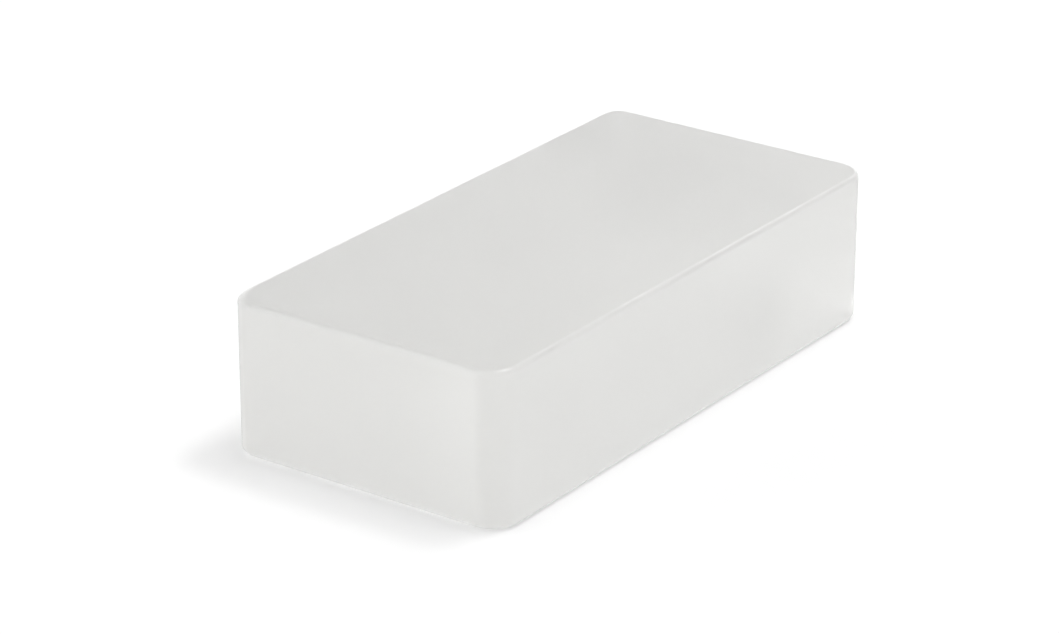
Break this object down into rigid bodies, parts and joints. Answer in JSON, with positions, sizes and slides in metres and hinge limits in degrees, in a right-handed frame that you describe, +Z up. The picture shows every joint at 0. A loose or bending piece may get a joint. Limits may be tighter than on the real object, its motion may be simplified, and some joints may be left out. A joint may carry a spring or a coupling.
{
  "type": "solid glass block",
  "caption": "Solid frosted glass block with flat bed faces, upright corners eased by hand to slightly uneven radii and narrow edge fillets, for laying in courses or as a loose glass brick.",
  "frame": {"origin": "middle of the lower bed face, on the surface that the block rests on", "axes": "+X along the length, +Y across the width, +Z up through the thickness"},
  "size_m": [0.2, 0.098, 0.0495],
  "materials": {
    "frosted_glass": "satin frosted all over, solid, nearly colourless"
  },
  "bodies": {
    "root": {"glass_block": "frosted_glass"}
  },
  "joints": []
}
